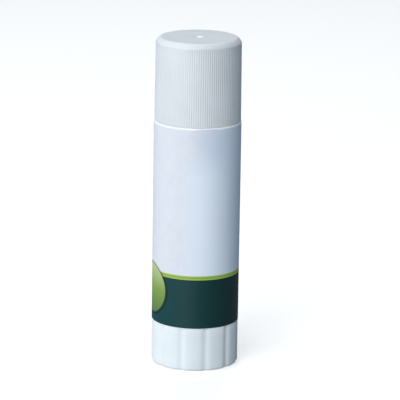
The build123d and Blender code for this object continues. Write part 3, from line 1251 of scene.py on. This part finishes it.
@dataclass
class Knob:
    """The twist knob: eleven broad lobes, a recessed base, and a hollow with hub and webs.

    A groove reaches so many degrees to both sides, with columns closer than on the lobe. The
    moulding gate in the base is flat from a share of its radius inwards.
    """

    ring: RingTree
    outer_radius: float = 15.17 * MM
    rim_height: float = 15.4 * MM
    lobe_count: int = 11
    groove_azimuth: float = 14.8
    groove_width: float = 1.15 * MM
    groove_depth: float = 0.4 * MM
    groove_reach: float = 9.0
    groove_columns: int = 28
    lobe_columns: int = 6
    skin_rows: int = 6
    flare: float = 0.04 * MM
    crown: float = 0.03 * MM
    base_edge: float = 0.8 * MM
    base_steps: int = 6
    top_edge: float = 0.3 * MM
    top_steps: int = 4
    inner_edge: float = 0.2 * MM
    wall: float = 1.8 * MM
    floor: float = 2.2 * MM
    recess: float = 0.6 * MM
    foot_width: float = 2.2 * MM
    gate_radius: float = 0.9 * MM
    gate_flat: float = 0.6
    gate_middle: float = 0.25 * MM
    gate_brim: float = 0.2 * MM
    hub_radius: float = 4.45 * MM
    socket_radius: float = 2.93 * MM
    web_count: int = 6
    web_thickness: float = 1.0 * MM
    web_top: float = 10.7 * MM
    web_sink: float = 0.4 * MM

    def _groove(self, azimuth: float) -> float:
        """Give the depth of the outer skin.

        Args:
            azimuth: Azimuth from the middle of a groove.

        Returns:
            The depth under the knob's outer radius.
        """
        along = math.radians(azimuth) * self.outer_radius
        lobe = FULL_TURN / self.lobe_count / 2
        bowl = self.groove_depth * math.exp(-((along / self.groove_width) ** 2))
        return bowl + self.crown * (1 - abs(azimuth) / lobe) ** 2

    def _profile(self) -> tuple[list[Point], int]:
        """Draw the knob's half section.

        Returns:
            The section, and the number of its points that lie on the lobed skin.
        """
        low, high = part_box("knob")
        outer, rim, floor, recess = self.outer_radius, self.rim_height, self.floor, self.recess
        base, top, lip = self.base_edge, self.top_edge, self.inner_edge
        section = corner((outer - base, base), base, Way.DOWN, Way.OUT, self.base_steps)
        section += [(outer, height) for height in rise(base, rim - top, self.skin_rows)[1:-1]]
        section += corner((outer - top, rim - top), top, Way.OUT, Way.UP, self.top_steps)
        skin = len(section)
        bore, foot = outer - self.wall, outer - self.foot_width
        section += [(bore + lip, rim), (bore, rim - lip), (bore, floor + lip), (bore - lip, floor)]
        section += [(self.hub_radius, floor), (self.hub_radius, high.z)]
        section += [(self.socket_radius, high.z), (self.socket_radius, floor), (0.0, floor)]
        gate = self.gate_radius
        section.append((0.0, recess + self.gate_middle))
        section.append((gate * self.gate_flat, recess + self.gate_brim))
        section += [(gate, recess), (foot / 2, recess), (foot - lip, recess)]
        section += [(foot, recess - lip), (foot, lip), (foot + lip, low.z)]
        return section, skin

    def build(self, plastic: bpy.types.Material) -> None:
        """Build one lobe's sector and repeat it, then the webs.

        Args:
            plastic: Material of the knob.
        """
        section, skin = self._profile()

        def lobed(spot: Spot) -> float:
            """Sink the grooves into the skin, which widens a little towards the foot.

            Args:
                spot: A point of the section.

            Returns:
                The point's radius.
            """
            if spot.index >= skin:
                return spot.radius
            flare = self.flare * (1 - spot.height / self.rim_height)
            return spot.radius + flare - self._groove(spot.azimuth - self.groove_azimuth)

        half, near = FULL_TURN / self.lobe_count / 2, self.groove_reach
        offsets = rise(-half, -near, self.lobe_columns)[:-1]
        offsets += rise(-near, near, self.groove_columns)
        offsets += rise(near, half, self.lobe_columns)[1:]
        azimuths = [self.groove_azimuth + offset for offset in offsets]
        sector = turned("knob", section, azimuths, lobed, loop=False)
        piece = self.ring.repeat(sector, self.lobe_count, plastic)
        webs = self._webs(plastic)
        tidy(piece)
        self._join(piece, webs)
        hand_in(piece, "knob", "knob")

    def _webs(self, plastic: bpy.types.Material) -> bpy.types.Object:
        """Build the webs between hub and wall as one repeated plate.

        Args:
            plastic: Material of the webs.

        Returns:
            The webs, sunk a little into hub, wall and floor.
        """
        draft = bmesh.new()
        start = self.hub_radius - self.web_sink
        end = self.outer_radius - self.wall + self.web_sink
        half = self.web_thickness / 2
        turn = Matrix.Rotation(math.radians(self.groove_azimuth), 4, "Z")
        corners = []
        for x in (-half, half):
            for y in (-start, -end):
                for z in (self.floor - self.web_sink, self.web_top):
                    corners.append(draft.verts.new(turn @ Vector((x, y, z))))
        bmesh.ops.convex_hull(draft, input=corners)
        web = piece_from(mesh_from(draft, "webs"), "webs")
        return tidy(self.ring.repeat(web, self.web_count, plastic))

    def _join(self, piece: bpy.types.Object, extra: bpy.types.Object) -> None:
        """Add another object's mesh to a piece.

        Args:
            piece: The piece.
            extra: The other object. It is used up.
        """
        draft = bmesh.new()
        draft.from_mesh(piece.data)
        draft.from_mesh(extra.data)
        draft.to_mesh(piece.data)
        draft.free()
        bpy.data.objects.remove(extra)


@dataclass
class Filling:
    """What the knob moves: the glue, the carrier under it and the spindle.

    The glue's top sinks towards the axis, with rings between two shares of its radius.
    """

    columns: int = 144
    side_rows: int = 24
    top_edge: float = 0.5 * MM
    top_steps: int = 5
    sink: float = 0.35 * MM
    sink_power: int = 4
    sink_span: Span = (0.92, 0.08)
    sink_rings: int = 14
    grooves: Ribs = Ribs(count=4, first=45.0, width=1.8 * MM, depth=0.7 * MM, flank=0.4)
    heel_radius: float = 11.55 * MM
    heel_height: float = 1.65 * MM
    nut_radius: float = 5.65 * MM
    nut_height: float = 6.3 * MM
    bore_radius: float = 3.85 * MM
    roof: float = 8.0 * MM

    def _glue(self, paste: bpy.types.Material) -> None:
        """Build the glue, grooved for the tube's guide ribs and cast round the carrier's hub.

        Args:
            paste: Material of the glue.
        """
        low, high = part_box("glue")
        outer, edge = high.x, self.top_edge
        heel_top, nut_top = low.z + self.heel_height, low.z + self.nut_height
        bore_top = high.z - self.roof
        section: list[Point] = [(self.heel_radius, low.z), (self.heel_radius, heel_top)]
        skin_start = len(section)
        rows = rise(heel_top, high.z - edge, self.side_rows)[:-1]
        section += [(outer, height) for height in rows]
        section += corner((outer - edge, high.z - edge), edge, Way.OUT, Way.UP, self.top_steps)
        skin = range(skin_start, len(section))
        for share in [*rise(*self.sink_span, self.sink_rings), 0.0]:
            section.append((outer * share, high.z - self.sink * (1 - share**self.sink_power)))
        section += [(0.0, bore_top), (self.bore_radius, bore_top), (self.bore_radius, nut_top)]
        section += [(self.nut_radius, nut_top), (self.nut_radius, low.z)]

        def grooved(spot: Spot) -> float:
            """Sink the grooves into the glue's side.

            Args:
                spot: A point of the section.

            Returns:
                The point's radius.
            """
            if spot.index in skin and self.grooves.covers(spot.azimuth, outer):
                return min(spot.radius, outer - self.grooves.depth)
            return spot.radius

        azimuths = sorted(self.grooves.edged(set(even_columns(self.columns)), outer))
        piece = tidy(turned("glue", section, azimuths, grooved))
        dress(piece, paste)
        hand_in(piece, "carrier", "glue")

    def build(
        self,
        paste: bpy.types.Material,
        carrier: bpy.types.Material,
        spindle: bpy.types.Material,
    ) -> None:
        """Build the glue and dress the carrier and the spindle.

        Args:
            paste: Material of the glue.
            carrier: Material of the carrier.
            spindle: Material of the spindle.
        """
        self._glue(paste)
        keep_node("carrier", carrier)
        keep_node("spindle", spindle)


@dataclass(frozen=True)
class SoftBox:
    """A rectangular studio light that faces the stick. Its power is in watts."""

    name: str
    azimuth: float
    elevation: float
    width: float
    height: float
    power: float
    distance: float = 1.2
    colour: Colour = PLAIN_WHITE

    def build(self, aim: Vector) -> None:
        """Set the light up.

        Args:
            aim: The point that it faces.
        """
        data = bpy.data.lights.new(self.name, "AREA")
        data.shape = "RECTANGLE"
        data.size, data.size_y = self.width, self.height
        data.energy = self.power
        data.color = self.colour
        light = bpy.data.objects.new(self.name, data)
        turn, tilt = math.radians(self.azimuth), math.radians(self.elevation)
        away = Vector(
            (math.sin(turn) * math.cos(tilt), -math.cos(turn) * math.cos(tilt), math.sin(tilt))
        )
        light.location = aim + away * self.distance
        light.rotation_euler = away.to_track_quat("Z", "Y").to_euler()
        bpy.context.scene.collection.objects.link(light)


@dataclass
class Studio:
    """Pale floor, soft light from the left and in front, and the camera."""

    floor_radius: float = 1.6
    floor_segments: int = 96
    floor_colour: Colour = (0.93, 0.915, 0.89)
    floor_roughness: float = 0.8
    floor_glow: float = 0.36
    paper_grain: float = 0.8 * MM
    paper_height: float = 0.01 * MM
    paper_strength: float = 0.2
    world_colour: Colour = (0.81, 1.0, 1.18)
    world_strength: float = 0.222
    lights: tuple[SoftBox, ...] = (
        SoftBox("key", azimuth=-26.0, elevation=13.0, width=0.8, height=0.7, power=8.7),
        SoftBox("side", azimuth=-74.0, elevation=13.0, width=0.7, height=0.7, power=3.8),
        SoftBox("top", azimuth=-8.0, elevation=68.0, width=0.7, height=0.7, power=4.3),
        SoftBox("back", azimuth=180.0, elevation=55.0, width=0.5, height=0.4, power=3.5),
    )
    light_aim: Place = (0.0, 0.0, 0.06)
    camera_place: Place = (0.0, -0.97588, 0.30338)
    camera_aim: Place = (0.001214, 0.0, 0.057954)
    camera_roll: float = 0.866
    camera_lens: float = 258.94
    camera_sensor: float = 36.0
    camera_clip: Span = (0.05, 20.0)

    def _floor(self) -> None:
        """Lay a pale round floor whose own light doesn't reach the stick."""
        draft = bmesh.new()
        bmesh.ops.create_circle(
            draft, cap_ends=True, segments=self.floor_segments, radius=self.floor_radius
        )
        floor = piece_from(mesh_from(draft, "floor"), "floor")
        wiring = Wiring("floor_paper")
        grain = wiring.noise(wiring.place(), self.paper_grain)
        wiring.feed(Normal=wiring.bump(grain, self.paper_height, self.paper_strength))
        wiring.set(
            Base_Color=(*self.floor_colour, 1.0),
            Roughness=self.floor_roughness,
            Emission_Color=(*PLAIN_WHITE, 1.0),
            Emission_Strength=self.floor_glow,
        )
        dress(floor, wiring.material)
        floor.visible_diffuse = False
        floor.visible_glossy = False

    def _camera(self) -> None:
        """Place the camera at the photograph's angle."""
        data = bpy.data.cameras.new("camera")
        data.lens, data.sensor_width = self.camera_lens, self.camera_sensor
        data.clip_start, data.clip_end = self.camera_clip
        camera = bpy.data.objects.new("camera", data)
        place = Vector(self.camera_place)
        forward = (Vector(self.camera_aim) - place).normalized()
        right = forward.cross(Vector((0, 0, 1))).normalized()
        up = right.cross(forward)
        roll = math.radians(self.camera_roll)
        side = right * math.cos(roll) + up * math.sin(roll)
        top = up * math.cos(roll) - right * math.sin(roll)
        rotation = Matrix((side, top, -forward)).transposed().to_4x4()
        camera.matrix_world = Matrix.Translation(place) @ rotation
        bpy.context.scene.collection.objects.link(camera)
        bpy.context.scene.camera = camera

    def build(self) -> None:
        """Set up floor, camera, surroundings and lights."""
        self._floor()
        self._camera()
        world = bpy.data.worlds.new("studio")
        world.use_nodes = True
        background = world.node_tree.nodes["Background"]
        background.inputs["Color"].default_value = (*self.world_colour, 1.0)
        background.inputs["Strength"].default_value = self.world_strength
        bpy.context.scene.world = world
        bpy.context.scene.view_settings.view_transform = "Standard"
        for light in self.lights:
            light.build(Vector(self.light_aim))


def main() -> None:
    logging.basicConfig(level=logging.INFO, format="%(name)s: %(message)s")
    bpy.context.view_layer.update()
    ring = RingTree()
    satin, plain = MouldSkin.SOFT_SATIN, MouldSkin.PLAIN
    cap_plastic = MouldedPlastic(
        "cap_plastic", linear(227, 231, 234), satin, chalk=0.2, gate_radius=1.5 * MM
    ).material()
    knob_plastic = MouldedPlastic(
        "knob_plastic", linear(239, 246, 248), satin, chalk=0.65, gloss=0.3
    ).material()
    tube_plastic = MouldedPlastic(
        "tube_plastic", linear(246, 248, 251), plain, chalk=0.8
    ).material()
    sleeve_plastic = MouldedPlastic("sleeve_plastic", linear(240, 243, 246), satin).material()
    inner_plastic = MouldedPlastic("inner_plastic", linear(232, 235, 238), plain).material()
    Cap(ring).build(cap_plastic)
    Barrel().build(sleeve_plastic, PrintedFilm().material(), tube_plastic, inner_plastic)
    Knob(ring).build(knob_plastic)
    Filling().build(GluePaste().material(), inner_plastic, inner_plastic)
    Studio().build()


if __name__ == "__main__":
    main()
